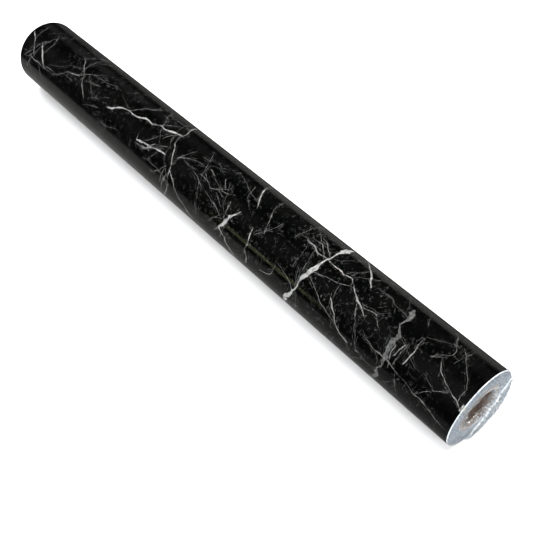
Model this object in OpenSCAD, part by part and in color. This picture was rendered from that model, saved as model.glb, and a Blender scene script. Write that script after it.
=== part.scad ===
// Roll of printed self-adhesive sign vinyl on a paperboard core, in its clear film overwrap.
// The roll lies on its side: its axis is X, the near end is +X and the origin is the middle of the core's axis.
// Angles round the roll start at +Y and run towards +Z.

/* [Vinyl web] */
// Width of the web, which is the roll's length
web_w = 1220; // [300:10:1600]
// Radius of the wound roll over its last turn
roll_r = 70.5; // [55:0.5:110]
// Thickness of the printed vinyl film with its adhesive
film_t = 0.1; // [0.08:0.01:0.2]
// Thickness of the siliconed release liner
liner_t = 0.1; // [0.08:0.01:0.2]

/* [Core] */
// Inner radius of the paperboard core, for a 3 inch spindle
core_bore_r = 38.1; // [25:0.1:40]
// Wall of the paperboard core
core_wall = 5; // [3:0.5:8]
// Width round the core of the double-sided tape that starts the web
start_tape_w = 25; // [12:1:40]
// Thickness of the double-sided tape
start_tape_t = 0.12; // [0.08:0.01:0.2]

/* [Free end of the web] */
// Angle where the last turn starts to lift
tail_root = -24; // [-26:1:-18]
// Angle of the web's cut edge
tail_tip = 14; // [8:1:16]
// Length along the roll of each tape that holds the cut edge
tail_tape_l = 60; // [30:5:100]
// Distance from the middle of the roll to the outer two tapes
tail_tape_x = 480; // [150:10:560]

/* [Clear overwrap] */
// Thickness of the clear film
wrap_t = 0.1; // [0.08:0.01:0.2]
// Angle of the fold at the flap's root
flap_root = -30; // [-34:1:-28]
// Angle of the flap's free edge
flap_tip = 28; // [25:1:30]
// Angle of the film's inner edge, under the flap
lap_edge = 20; // [18:1:22]
// Length along the roll of each tape that closes the flap
seam_tape_l = 70; // [30:5:120]
// Distance from the middle of the roll to the outer two seam tapes
seam_tape_x = 440; // [150:10:560]

/* [Gathered ends] */
// How far the gathered film stands off the end of the roll
end_bulge = 2.4; // [1:0.2:6]
// Depth of the film that is tucked into the core
tuck_l = 45; // [20:1:80]
// Thickness of the tucked film
tuck_t = 0.08; // [0.06:0.01:0.1]
// Length of the rim tape along the barrel
rim_tape_l = 12; // [8:1:20]
// Angle of the middle of the rim tape
rim_tape_a = 136; // [100:1:170]
// Width of the rim tape round the barrel, in degrees
rim_tape_da = 13; // [8:1:20]

/* [Hidden] */

gap = 0.2;                                  // room between two pieces that move apart
half = web_w / 2;
core_r = core_bore_r + core_wall;
turn_t = film_t + liner_t;
bed_r = roll_r - turn_t;                    // top of the turn under the last one
tail_liner_r = bed_r + gap;                 // inner radius of the lifted liner
tail_film_r = tail_liner_r + liner_t + gap; // inner radius of the lifted film
tail_tape_r = tail_film_r + film_t;         // tapes lie on the lifted film
tape_t = 0.05;
wrap_r = roll_r + wrap_t;                   // outer radius of the overwrap
flap_r = tail_tape_r + tape_t + gap;        // inner radius of the flap
tuck_r = core_bore_r - 0.12;                // outer radius of the tucked film
start_tape_da = round(start_tape_w / core_r * 180 / PI);

// Turns a profile drawn upright onto the roll's axis: X to Y, Y to Z, Z to X
module on_axis() { rotate([90, 0, 90]) children(); }

// Full ring of inner radius r and wall t, from x0 to x1
module ring(r, t, x0, x1) {
  on_axis() rotate_extrude($fn = 180) translate([r, x0]) square([t, x1 - x0]);
}

// Part of a ring, from angle a0 to a1
module band(r, t, x0, x1, a0, a1) {
  on_axis() rotate_extrude(angle = a1 - a0, start = a0, $fn = 180) translate([r, x0]) square([t, x1 - x0]);
}

// The same for a narrow strip of thin sheet, in flats of one degree
module strip(r, t, x0, x1, a0, a1) {
  on_axis() translate([0, 0, x0]) linear_extrude(x1 - x0)
    polygon(concat([for (a = [a0:1:a1]) (r + t) * [cos(a), sin(a)]], [for (a = [a1:-1:a0]) r * [cos(a), sin(a)]]));
}

// Tapes of length l: one in the middle of the roll and one each side at distance d
module three_tapes(r, t, l, d, a0, a1) {
  for (x = [-d, 0, d]) strip(r, t, x - l / 2, x + l / 2, a0, a1);
}

module core_tube() {
  color([0.55, 0.42, 0.32]) ring(core_bore_r, core_wall, -half, half);
}

module core_start_tape() {
  color([0.9, 0.88, 0.8])
    strip(core_r + 0.01, start_tape_t - 0.02, -half + 10, half - 10, 90, 90 + start_tape_da);
}

// Every turn but the last, with the bed for the starting tape
module inner_turns() {
  color([0.75, 0.8, 0.85])
    difference() {
      ring(core_r, bed_r - core_r, -half, half);
      on_axis() rotate_extrude(angle = start_tape_da, start = 90, $fn = 180)
        translate([core_r - 1, -half + 10]) square([start_tape_t + 1, web_w - 20]);
    }
}

module outer_turn_liner() {
  color([0.85, 0.88, 0.92]) band(bed_r, liner_t, -half, half, tail_tip, tail_root + 360);
}

module outer_turn_film() {
  color([0.05, 0.05, 0.05]) band(bed_r + liner_t, film_t, -half, half, tail_tip, tail_root + 360);
}

module tail_liner() {
  color([0.85, 0.88, 0.92]) strip(tail_liner_r, liner_t, -half, half, tail_root + 1, tail_tip);
}

module tail_film() {
  color([0.05, 0.05, 0.05]) strip(tail_film_r, film_t, -half, half, tail_root, tail_tip);
}

module tail_tapes() {
  color([0.92, 0.92, 0.88, 0.6])
    three_tapes(tail_tape_r, tape_t, tail_tape_l, tail_tape_x, tail_tip - 7, tail_tip + 4);
}

module wrap_sleeve() {
  color([0.8, 0.85, 0.88, 0.35]) band(roll_r, wrap_t, -half, half, lap_edge, flap_root + 360);
}

module wrap_flap() {
  color([0.8, 0.85, 0.88, 0.35]) strip(flap_r, wrap_t, -half + 1, half - 1, flap_root, flap_tip);
}

module seam_tapes() {
  color([0.92, 0.92, 0.88, 0.6])
    three_tapes(flap_r + wrap_t, tape_t, seam_tape_l, seam_tape_x, flap_tip - 6, flap_tip + 5);
}

// Film drawn in over the end of the roll, from the rim to the mouth of the core
module skirt() {
  r0 = wrap_r;
  r1 = tuck_r;
  x0 = half + 0.1;
  on_axis() rotate_extrude($fn = 180)
    polygon([[r0, x0], [r0 - 3, x0 + 0.5 * end_bulge], [r0 - 12, x0 + 0.9 * end_bulge], [(r0 + r1) / 2, x0 + end_bulge],
             [r1 + 4, x0 + 0.8 * end_bulge], [r1, x0 + 0.3], [r1, x0 + 0.1], [r1 + 1, x0 + 0.1],
             [r1 + 4, x0 + 0.8 * end_bulge - wrap_t], [(r0 + r1) / 2, x0 + end_bulge - wrap_t],
             [r0 - 12, x0 + 0.9 * end_bulge - wrap_t], [r0 - 3, x0 + 0.5 * end_bulge - wrap_t], [r0 - 0.5, x0]]);
}

// Film tucked into the core and lying against its wall
module tuck() { ring(tuck_r - tuck_t, tuck_t, half - tuck_l, half + 0.25); }

module near_end_skirt() { color([0.8, 0.86, 0.9, 0.4]) skirt(); }

module near_end_tuck() { color([0.8, 0.86, 0.9, 0.4]) tuck(); }

// Clear tape folded over the rim, half on the barrel and half on the end
module near_rim_tape() {
  a0 = rim_tape_a - rim_tape_da / 2;
  r = wrap_r + gap;
  x = half + 0.1 + 0.9 * end_bulge;
  color([0.92, 0.92, 0.9, 0.6]) on_axis() rotate_extrude(angle = rim_tape_da, start = a0, $fn = 180)
    polygon([[r, half - rim_tape_l], [r + 0.1, half - rim_tape_l], [r + 0.1, x + 0.1], [r - 12, x + 0.1],
             [r - 12, x + 0.01], [r, x - 0.1]]);
}

module far_end_skirt() { color([0.8, 0.86, 0.9, 0.4]) mirror([1, 0, 0]) skirt(); }

module far_end_tuck() { color([0.8, 0.86, 0.9, 0.4]) mirror([1, 0, 0]) tuck(); }

core_tube();
core_start_tape();
inner_turns();
outer_turn_liner();
outer_turn_film();
tail_liner();
tail_film();
tail_tapes();
wrap_sleeve();
wrap_flap();
seam_tapes();
near_end_skirt();
near_end_tuck();
near_rim_tape();
far_end_skirt();
far_end_tuck();
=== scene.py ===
import math
import random

import bpy
import numpy as np
from mathutils import Matrix, Vector


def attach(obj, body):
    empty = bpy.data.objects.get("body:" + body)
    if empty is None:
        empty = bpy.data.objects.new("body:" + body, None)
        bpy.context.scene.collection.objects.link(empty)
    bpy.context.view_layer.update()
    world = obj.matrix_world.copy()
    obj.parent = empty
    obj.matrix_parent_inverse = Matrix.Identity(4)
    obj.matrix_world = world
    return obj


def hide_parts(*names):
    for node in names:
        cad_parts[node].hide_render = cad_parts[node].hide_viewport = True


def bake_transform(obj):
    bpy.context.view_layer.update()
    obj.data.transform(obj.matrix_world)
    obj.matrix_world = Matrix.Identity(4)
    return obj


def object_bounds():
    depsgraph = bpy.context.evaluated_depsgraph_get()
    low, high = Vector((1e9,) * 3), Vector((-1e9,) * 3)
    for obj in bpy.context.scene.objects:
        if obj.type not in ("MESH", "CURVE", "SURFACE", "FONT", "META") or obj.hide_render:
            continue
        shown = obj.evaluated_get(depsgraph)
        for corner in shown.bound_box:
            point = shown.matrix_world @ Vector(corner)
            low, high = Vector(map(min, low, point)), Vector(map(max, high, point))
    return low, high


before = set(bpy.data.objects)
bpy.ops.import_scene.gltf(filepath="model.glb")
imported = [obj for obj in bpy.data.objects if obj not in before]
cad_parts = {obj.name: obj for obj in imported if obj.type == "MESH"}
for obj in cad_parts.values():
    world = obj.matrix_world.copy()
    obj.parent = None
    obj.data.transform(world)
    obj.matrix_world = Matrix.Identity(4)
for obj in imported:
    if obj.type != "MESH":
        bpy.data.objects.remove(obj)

# A roll of marble-print sign vinyl in its clear film overwrap.
# Lengths are in millimetres and angles in degrees from +Y towards +Z until polar() turns them into metres.
CAD_BOX = [list(v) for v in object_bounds()]
scene = bpy.context.scene
HALF = 610.0          # half the width of the web
R = 70.5              # radius of the wound roll
BED = 70.3            # radius of the turn under the last one
CORE = 43.1           # outer radius of the core
BORE = 38.1           # inner radius of the core
TURN = 0.2            # film, adhesive and liner of one turn
MM_PER_DEG = R * math.pi / 180
PHI0 = -149.0         # the angle at which the printed pattern's own coordinate starts


# ------------------------------------------------------------------ camera, light and floor
cam = bpy.data.cameras.new("camera")
cam_o = bpy.data.objects.new("camera", cam)
scene.collection.objects.link(cam_o)
right = Vector((0.65313, 0.75724, 0.0)).normalized()
up = Vector((-0.56191, 0.48465, 0.67035))
up = (up - right * up.dot(right)).normalized()
back = right.cross(up)
rot = Matrix((right, up, back)).transposed().to_4x4()
cam_o.matrix_world = Matrix.Translation((0.889, -0.6525, 1.016)) @ rot
cam.sensor_width = 36
cam.lens = 54.46
cam.clip_start, cam.clip_end = 0.02, 100
scene.camera = cam_o
scene.view_settings.view_transform = "Standard"
scene.view_settings.look = "None"
scene.render.filter_size = 1.0


def area_light(name, at, aim, size, power, color=(1, 1, 1)):
    light = bpy.data.lights.new(name, "AREA")
    light.shape, light.size = "DISK", size
    light.energy, light.color = power, color
    o = bpy.data.objects.new(name, light)
    scene.collection.objects.link(o)
    o.location = at
    o.rotation_mode = "QUATERNION"
    o.rotation_quaternion = (Vector(aim) - Vector(at)).to_track_quat("-Z", "Y")
    o.visible_camera = o.visible_glossy = False
    return o


area_light("key_soft", (0.5, 1.7, 3.0), (0, 0, 0), 2.4, 190, (1.0, 0.99, 0.97))
area_light("top_soft", (-0.4, -0.4, 3.6), (0, 0, 0), 3.2, 165, (0.98, 0.99, 1.0))
area_light("end_soft", (2.9, -0.9, 1.5), (0.4, 0, 0), 1.8, 62, (0.97, 0.985, 1.0))
area_light("end_low", (2.2, 1.3, 0.5), (0.6, 0, 0), 0.7, 9, (1.0, 0.98, 0.95))
area_light("front_soft", (0.1, -2.6, 1.5), (0, 0, 0), 2.2, 100, (1.0, 1.0, 1.0))
area_light("back_soft", (-2.8, 0.4, 1.6), (-0.4, 0, 0), 1.8, 50, (1.0, 1.0, 1.0))


# ------------------------------------------------------------------ node helper
class Mat:
    """A material's node tree, with short calls for its nodes."""

    def __init__(self, name, tree=None):
        if tree is None:
            self.m = bpy.data.materials.new(name)
            self.m.use_nodes = True
            tree = self.m.node_tree
        tree.nodes.clear()
        self.t = tree

    def node(self, kind, **kw):
        n = self.t.nodes.new(kind)
        for k, v in kw.items():
            setattr(n, k, v)
        return n

    def put(self, socket, value):
        if isinstance(value, bpy.types.NodeSocket):
            self.t.links.new(value, socket)
        elif value is not None:
            socket.default_value = value

    def math(self, op, a, b=None, c=None, clamp=False):
        n = self.node("ShaderNodeMath", operation=op, use_clamp=clamp)
        for s, v in zip(n.inputs, (a, b, c)):
            self.put(s, v)
        return n.outputs[0]

    def vec(self, op, a, b=None, scale=None):
        n = self.node("ShaderNodeVectorMath", operation=op)
        self.put(n.inputs[0], a)
        if b is not None:
            self.put(n.inputs[1], b)
        if scale is not None:
            self.put(n.inputs["Scale"], scale)
        return n.outputs[1] if op in ("LENGTH", "DOT_PRODUCT") else n.outputs[0]

    def xyz(self, x, y, z=0.0):
        n = self.node("ShaderNodeCombineXYZ")
        for s, v in zip(n.inputs, (x, y, z)):
            self.put(s, v)
        return n.outputs[0]

    def split(self, v):
        n = self.node("ShaderNodeSeparateXYZ")
        self.put(n.inputs[0], v)
        return n.outputs[:]

    def noise(self, vector, scale, detail=2.0, rough=0.5, dims="3D", w=None, distortion=0.0):
        n = self.node("ShaderNodeTexNoise", noise_dimensions=dims)
        if dims != "1D":
            self.put(n.inputs["Vector"], vector)
        if w is not None:
            self.put(n.inputs["W"], w)
        self.put(n.inputs["Scale"], scale)
        self.put(n.inputs["Detail"], detail)
        self.put(n.inputs["Roughness"], rough)
        self.put(n.inputs["Distortion"], distortion)
        return n.outputs[0], n.outputs[1]

    def ramp(self, fac, stops, mode="LINEAR"):
        n = self.node("ShaderNodeValToRGB")
        n.color_ramp.interpolation = mode
        e = n.color_ramp.elements
        while len(e) < len(stops):
            e.new(0.5)
        for el, (p, c) in zip(e, stops):
            el.position = p
            el.color = (c, c, c, 1) if isinstance(c, (int, float)) else (*c, 1)
        self.put(n.inputs[0], fac)
        return n.outputs[0]

    def remap(self, v, a, b, lo=0.0, hi=1.0, smooth=False):
        n = self.node("ShaderNodeMapRange", clamp=True)
        if smooth:
            n.interpolation_type = "SMOOTHSTEP"
        for s, x in zip(n.inputs, (v, a, b, lo, hi)):
            self.put(s, x)
        return n.outputs[0]

    def mix(self, fac, a, b, blend="MIX"):
        n = self.node("ShaderNodeMix", data_type="RGBA", blend_type=blend)
        self.put(n.inputs[0], fac)
        self.put(n.inputs[6], a if isinstance(a, bpy.types.NodeSocket) else (*a, 1))
        self.put(n.inputs[7], b if isinstance(b, bpy.types.NodeSocket) else (*b, 1))
        return n.outputs[2]

    def bump(self, height, strength, distance):
        n = self.node("ShaderNodeBump")
        self.put(n.inputs["Strength"], strength)
        self.put(n.inputs["Distance"], distance)
        self.put(n.inputs["Height"], height)
        return n.outputs[0]

    def principled(self, color, rough, normal=None, **kw):
        n = self.node("ShaderNodeBsdfPrincipled")
        self.put(n.inputs["Base Color"], color if isinstance(color, bpy.types.NodeSocket) else (*color, 1))
        self.put(n.inputs["Roughness"], rough)
        if normal is not None:
            self.put(n.inputs["Normal"], normal)
        for k, v in kw.items():
            self.put(n.inputs[k], v)
        return n.outputs[0]

    def out(self, shader):
        o = self.node("ShaderNodeOutputMaterial")
        self.put(o.inputs["Surface"], shader)
        return self.m

    def obj(self):
        return self.node("ShaderNodeTexCoord").outputs["Object"]


# The studio that the gloss mirrors: the pale floor below, two dim soft boxes overhead and one low card, each a band
# at an angle round the roll's axis (degrees from +Y towards +Z), brighter or dimmer towards one end of the roll.
world = bpy.data.worlds.new("studio")
scene.world = world
world.use_nodes = True
w = Mat("studio", world.node_tree)
# Bands: from, to, soft edge, then luminance towards the far end, across the roll and towards the near end.
BANDS = [
    (-156, 10, 3, 0.07, 0.10, 0.09),       # floor
    (-156, -52, 7, 0.26, 0.13, 0.06),      # floor near the roll
    (-82, -54, 9, 0.10, 0.12, 0.17),       # floor under the lamp
    (-20, 8, 6, 0.02, 0.17, 0.16),         # horizon
    (30, 58, 12, 0.08, 0.02, 0.04),        # soft box behind
    (106, 154, 16, 0.05, 0.05, 0.09),      # soft box in front
]
d = w.split(w.node("ShaderNodeTexCoord").outputs["Generated"])
ang = w.math("MULTIPLY_ADD", w.math("ARCTAN2", d[2], d[1]), 0.5 / math.pi, 0.5)
deg = w.math("MULTIPLY_ADD", ang, 360.0, -180.0)
level = [0.012, 0.010, 0.010]
for a0, a1, soft, *lum in BANDS:
    band = w.math("MULTIPLY", w.remap(deg, a0 - soft, a0 + soft, 0.0, 1.0, True), w.remap(deg, a1 - soft, a1 + soft, 1.0, 0.0, True))
    level = [w.math("MULTIPLY_ADD", band, lum[k], level[k]) for k in range(3)]
tones = [w.xyz(v, v, w.math("MULTIPLY", v, 0.965)) for v in level]
tone = w.mix(w.remap(d[0], -0.76, -0.52), tones[0], tones[1])
tone = w.mix(w.remap(d[0], -0.48, -0.24), tone, tones[2])
# a low lamp, mirrored as one olive streak
lamp = w.math("MULTIPLY", w.remap(w.math("ABSOLUTE", w.math("SUBTRACT", deg, -175.0)), 2.5, 8.0, 1.0, 0.0, True),
              w.remap(w.math("ABSOLUTE", w.math("SUBTRACT", d[0], -0.51)), 0.04, 0.085, 1.0, 0.0, True))
tone = w.mix(lamp, tone, (0.62, 0.64, 0.36))
# a small soft lamp beyond the near end, which the crumpled film catches
aim = w.vec("DOT_PRODUCT", w.xyz(*d[:3]), tuple(Vector((1.6, 1.3, 0.5)).normalized()))
spot = w.remap(aim, 0.972, 0.999, 0.0, 6.0, True)
tone = w.mix(1.0, tone, w.xyz(spot, spot, w.math("MULTIPLY", spot, 0.95)), "ADD")
bg = w.node("ShaderNodeBackground")
w.put(bg.inputs[0], tone)
wo = w.node("ShaderNodeOutputWorld")
w.put(wo.inputs[0], bg.outputs[0])
vis = world.cycles_visibility
vis.camera = vis.diffuse = vis.transmission = vis.scatter = False
vis.glossy = True

floor_z = CAD_BOX[0][2]
me = bpy.data.meshes.new("floor")
ring_n = 96
fv = [(0, 0, 0)] + [(9 * math.cos(2 * math.pi * k / ring_n), 9 * math.sin(2 * math.pi * k / ring_n), 0) for k in range(ring_n)]
me.from_pydata(fv, [], [(0, 1 + k, 1 + (k + 1) % ring_n) for k in range(ring_n)])
floor = bpy.data.objects.new("floor", me)
floor.location.z = floor_z - 0.0002
scene.collection.objects.link(floor)
m = Mat("floor_white")
grain = m.noise(m.obj(), 3.0, 3)[0]
fl = m.node("ShaderNodeBsdfPrincipled")
m.put(fl.inputs["Base Color"], m.mix(grain, (0.86, 0.865, 0.87), (0.90, 0.90, 0.90)))
fl.inputs["Roughness"].default_value = 0.9
glow = m.node("ShaderNodeEmission")
m.put(glow.inputs[0], m.mix(grain, (0.97, 0.975, 0.98), (1.0, 1.0, 1.0)))
both = m.node("ShaderNodeMixShader")
m.put(both.inputs[0], m.remap(m.vec("LENGTH", m.obj()), 1.0, 3.5, 0.0, 1.0, True))
m.put(both.inputs[1], fl.outputs[0])
m.put(both.inputs[2], glow.outputs[0])
me.materials.append(m.out(both.outputs[0]))
floor.visible_glossy = False

me = bpy.data.meshes.new("backdrop")
rows, cols = 14, 48
bv = [(9 * math.cos(a) * math.cos(b), 9 * math.sin(a) * math.cos(b), 9 * math.sin(b) - 0.3)
      for b in [math.pi / 2 * i / rows for i in range(rows + 1)] for a in [2 * math.pi * j / cols for j in range(cols)]]
me.from_pydata(bv, [], [(i * cols + j, i * cols + (j + 1) % cols, (i + 1) * cols + (j + 1) % cols, (i + 1) * cols + j)
                        for i in range(rows) for j in range(cols)])
backdrop = bpy.data.objects.new("backdrop", me)
scene.collection.objects.link(backdrop)
m = Mat("backdrop_white")
em = m.node("ShaderNodeEmission")
m.put(em.inputs[0], m.mix(m.remap(m.split(m.obj())[2], 0, 6), (1.0, 1.0, 1.0), (0.9, 0.93, 0.96)))
em.inputs[1].default_value = 1.0
me.materials.append(m.out(em.outputs[0]))
backdrop.visible_glossy = backdrop.visible_diffuse = backdrop.visible_shadow = backdrop.visible_transmission = False


# ------------------------------------------------------------------ the marble print
# The print's main veins: brightness, width in mm, and points (distance along the roll, angle).
MAIN_VEINS = [
    (1.0, 6.2, [(250, 210), (270, 175), (285, 135), (295, 95), (300, 50)]),
    (0.26, 9.0, [(460, 200), (475, 160), (465, 115), (455, 75)]),
    (0.95, 4.6, [(130, 205), (110, 180), (85, 165), (100, 140), (110, 125)]),
    (0.75, 2.8, [(-90, 210), (-75, 180), (-70, 145), (-100, 105), (-120, 50)]),
    (0.80, 3.2, [(5, 190), (-35, 170), (-70, 145)]),
    (0.95, 4.6, [(-180, 140), (-150, 135), (-105, 130)]),
    (0.90, 3.6, [(-290, 130), (-250, 115), (-210, 110), (-170, 105), (-105, 90)]),
    (0.80, 3.4, [(-515, 150), (-540, 130), (-560, 115)]),
    (0.80, 3.4, [(-560, 145), (-585, 120), (-605, 110)]),
    (0.55, 1.8, [(-600, 145), (-540, 148), (-480, 148)]),
    (0.55, 1.8, [(-480, 148), (-455, 135), (-415, 120), (-365, 95)]),
    (0.55, 1.8, [(-365, 145), (-400, 115), (-440, 90)]),
    (0.85, 2.4, [(245, 95), (300, 100), (350, 100), (405, 125)]),
    (0.85, 3.4, [(400, 170), (375, 160), (345, 135)]),
    (0.80, 3.0, [(160, 185), (155, 150), (150, 130)]),
    (0.80, 2.4, [(130, 105), (110, 80), (95, 60)]),
    (0.65, 2.2, [(610, 140), (565, 125), (545, 110)]),
    (0.50, 2.0, [(420, 145), (510, 155), (610, 175)]),
    (0.80, 3.2, [(380, 90), (350, 65), (325, 45)]),
    (0.80, 2.2, [(500, 140), (500, 100)]),
    (0.75, 2.6, [(195, 175), (225, 165), (225, 150)]),
    (0.90, 4.0, [(-430, 15), (-380, -30), (-395, -75), (-350, -130)]),
    (0.70, 3.0, [(-560, -20), (-500, -50), (-430, -60)]),
    (0.95, 6.0, [(-130, 20), (-160, -25), (-140, -70), (-165, -135)]),
    (0.60, 2.4, [(-160, -25), (-90, -45), (-10, -40)]),
    (0.85, 3.6, [(140, 20), (175, -20), (160, -60)]),
    (0.45, 6.0, [(330, 15), (300, -40), (315, -90), (290, -140)]),
    (0.80, 2.6, [(315, -90), (390, -75), (460, -95)]),
    (0.90, 3.8, [(540, 10), (505, -45), (530, -100)]),
]
# Places where short veins lie side by side: middle, how many, spread in mm, heading and brightness.
SHEAVES = [
    (-125, 128, 9, 26, 2.5, 0.9), (-80, 150, 6, 20, 1.9, 0.8), (90, 150, 6, 18, 2.2, 0.95), (-570, 128, 8, 30, 2.2, 0.75),
    (-10, 118, 7, 26, 0.4, 0.6), (40, 125, 7, 22, 0.3, 0.7), (475, 125, 6, 18, 1.5, 0.6), (-330, 130, 6, 30, 2.6, 0.5),
    (-180, -45, 8, 30, 1.7, 0.8), (330, -95, 7, 26, 0.4, 0.7), (-480, -50, 6, 26, 2.4, 0.6),
]


def grow(rnd, x, a, heading, length, wide, bright, depth, out):
    """One vein from a point, in short kinked steps, with thinner ones leaving it."""
    pts, gone = [(x, a, wide * 0.6)], 0.0
    while gone < length:
        heading += rnd.gauss(0, 0.13)
        if rnd.random() < 0.12:
            heading += rnd.choice((-1, 1)) * rnd.uniform(0.3, 0.8)
        reach = rnd.uniform(9, 17)
        x += reach * math.cos(heading)
        a += reach * math.sin(heading) / MM_PER_DEG
        gone += reach
        if abs(x) > 607 or not -147 < a < 209:
            break
        pts.append((x, a, max(0.6, wide * rnd.uniform(0.6, 1.45) * (1 - 0.5 * gone / length))))
        if depth and rnd.random() < 0.16:
            grow(rnd, x, a, heading + rnd.choice((-1, 1)) * rnd.uniform(0.5, 1.2), length * rnd.uniform(0.3, 0.6),
                 wide * 0.62, bright * rnd.uniform(0.6, 0.95), depth - 1, out)
    if len(pts) > 1:
        out.append((bright, pts))


def print_veins():
    """Every vein of the print: the main ones broken into jagged runs, their side veins, and weaker ones between."""
    rnd = random.Random(20)
    out = []
    for bright, wide, pts in MAIN_VEINS:
        run = []
        for (x0, a0), (x1, a1) in zip(pts, pts[1:]):
            n = max(1, round(math.hypot(x1 - x0, (a1 - a0) * MM_PER_DEG) / 14))
            for i in range(n):
                run.append([x0 + (x1 - x0) * i / n, a0 + (a1 - a0) * i / n])
        run.append(list(pts[-1]))
        swell = rnd.uniform(0, 6)
        for i, q in enumerate(run):
            if 0 < i < len(run) - 1:
                q[0] += rnd.gauss(0, 2.2)
                q[1] += rnd.gauss(0, 1.5)
            q.append(max(0.7, wide * (0.85 + 0.45 * math.sin(swell + i * 1.1)) * rnd.uniform(0.75, 1.2)))
        run[0][2] *= 0.6
        run[-1][2] *= 0.45
        out.append((bright, [tuple(q) for q in run]))
        for i in range(1, len(run) - 1):
            if rnd.random() < 0.30:
                ahead = math.atan2((run[i + 1][1] - run[i][1]) * MM_PER_DEG, run[i + 1][0] - run[i][0])
                grow(rnd, run[i][0], run[i][1], ahead + rnd.choice((-1, 1)) * rnd.uniform(0.45, 1.3), rnd.uniform(25, 90),
                     min(wide * 0.4, 1.4), min(0.85, bright + 0.2) * rnd.uniform(0.5, 0.95), 1, out)
    for x, a, count, spread, lie, bright in SHEAVES:
        for _ in range(count):
            grow(rnd, x + rnd.gauss(0, spread * 0.6), a + rnd.gauss(0, spread * 0.6) / MM_PER_DEG, lie + rnd.gauss(0, 0.22),
                 rnd.uniform(12, 34), rnd.choice((1.0, 1.3, 1.8, 2.4)), bright * rnd.uniform(0.6, 1.0), 0, out)
    for gx in range(16):
        for ga in range(8):
            if rnd.random() < 0.82:
                x, a = -605 + gx * 76 + rnd.uniform(2, 74), -146 + ga * 44 + rnd.uniform(2, 42)
                lie = rnd.gauss(1.5, 0.45) if rnd.random() < 0.7 else rnd.gauss(0.2, 0.4)
                grow(rnd, x, a, lie + rnd.choice((0, math.pi)), rnd.uniform(25, 90), rnd.choice((0.8, 0.9, 1.0, 1.2, 1.5)),
                     rnd.choice((0.3, 0.4, 0.5, 0.65, 0.8)), 1 if rnd.random() < 0.5 else 0, out)
    return out


def tracks(veins):
    """Packs veins into curves of position, width and brightness against one coordinate, so that none in a curve meet."""
    runs = {"a": [], "x": []}
    for b, pts in veins:
        pts = [((x + HALF) / (2 * HALF), (a - PHI0) / 360, wd) for x, a, wd in pts]
        span_a = abs(pts[-1][1] - pts[0][1]) * 443
        span_x = abs(pts[-1][0] - pts[0][0]) * 1220
        kind = "a" if span_a >= span_x * 0.8 else "x"
        key = 1 if kind == "a" else 0
        run, sign = [pts[0]], 0
        for p in pts[1:]:
            s = 1 if p[key] > run[-1][key] else -1
            if sign and s != sign:
                runs[kind].append((b, run))
                run, sign = [run[-1]], 0
            sign = sign or s
            run.append(p)
        runs[kind].append((b, run))
    packed = []
    for kind, key, gap, most in (("a", 1, 3.0 / 256, 37), ("x", 0, 3.0 / 256, 13)):
        lines = []
        todo = []
        for b, run in runs[kind]:
            if len(run) < 2:
                continue
            run = sorted(run, key=lambda p: p[key])
            clean = [run[0]]
            for p in run[1:]:
                if p[key] - clean[-1][key] > 0.6 / 256:
                    clean.append(p)
            if len(clean) < 2:
                p, q = run[0], run[-1]
                mid = (p[key] + q[key]) / 2
                a, c = [list(p), list(q)]
                a[key], c[key] = mid - 0.5 / 256, mid + 0.5 / 256
                clean = [tuple(a), tuple(c)]
            todo.append((b, clean))
        # the strongest veins get a place first, and a curve holds as many as fit beside each other
        todo.sort(key=lambda r: -r[0] * (0.4 + max(p[2] for p in r[1])) * (0.3 + min(1.0, (r[1][-1][key] - r[1][0][key]) * 12)))
        for b, run in todo:
            lo, hi = run[0][key] - gap, run[-1][key] + gap
            for line in lines:
                if all(hi < other[0][key] or lo > other[-1][key] for _, other in line):
                    line.append((b, run))
                    break
            else:
                if len(lines) < most:
                    lines.append([(b, run)])
        for line in lines:
            line.sort(key=lambda r: r[1][0][key])
        for line in lines:
            R_, G_, B_ = [], [], []
            for b, run in line:
                first, last = run[0], run[-1]
                other = 1 - key
                e = 1.1 / 256
                R_ += [(first[key] - e, first[other])] + [(p[key], p[other]) for p in run] + [(last[key] + e, last[other])]
                B_ += [(first[key] - e, 0.0)] + [(p[key], b) for p in run] + [(last[key] + e, 0.0)]
                full = (443.0, 1220.0)
                for i, p in enumerate(run):
                    q0, q1 = run[max(0, i - 1)], run[min(len(run) - 1, i + 1)]
                    along = (q1[key] - q0[key]) * (full[0] if kind == "a" else full[1])
                    across = (q1[other] - q0[other]) * (full[1] if kind == "a" else full[0])
                    lean = min(2.6, math.hypot(along, across) / max(abs(along), 1e-6))
                    half = 0.50 * min(p[2], 8.0) ** 1.40 / 2 * lean / (full[1] if kind == "a" else full[0])
                    G_.append((p[key], min(1.0, half * WIDTH_GAIN)))
            packed.append((kind, R_, G_, B_))
    return packed


WIDTH_GAIN = 60.0


def set_curve(curve, pts):
    pts = sorted((min(1.0, max(0.0, x)), min(1.0, max(0.0, y))) for x, y in pts)
    keep = [pts[0]]
    for p in pts[1:]:
        if p[0] - keep[-1][0] > 1e-5:
            keep.append(p)
    if keep[0][0] > 0:
        keep.insert(0, (0.0, keep[0][1]))
    if keep[-1][0] < 1:
        keep.append((1.0, keep[-1][1]))
    while len(curve.points) < len(keep):
        curve.points.new(0.5, 0.5)
    for cp, p in zip(curve.points, keep):
        cp.location = p
        cp.handle_type = "VECTOR"


def roll_coordinates(m):
    """Object position, distance along the roll in mm, angle from PHI0 in turns (0 to 1)."""
    o = m.obj()
    x, y, z = m.split(o)
    turn = math.radians(PHI0 + 180)
    c, s = math.cos(turn), math.sin(turn)
    a = m.math("MULTIPLY_ADD", y, c, m.math("MULTIPLY", z, s))
    b = m.math("MULTIPLY_ADD", z, c, m.math("MULTIPLY", y, -s))
    t = m.math("MULTIPLY_ADD", m.math("ARCTAN2", b, a), 0.5 / math.pi, 0.5)
    return o, m.math("MULTIPLY", x, 1000.0), t


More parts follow.
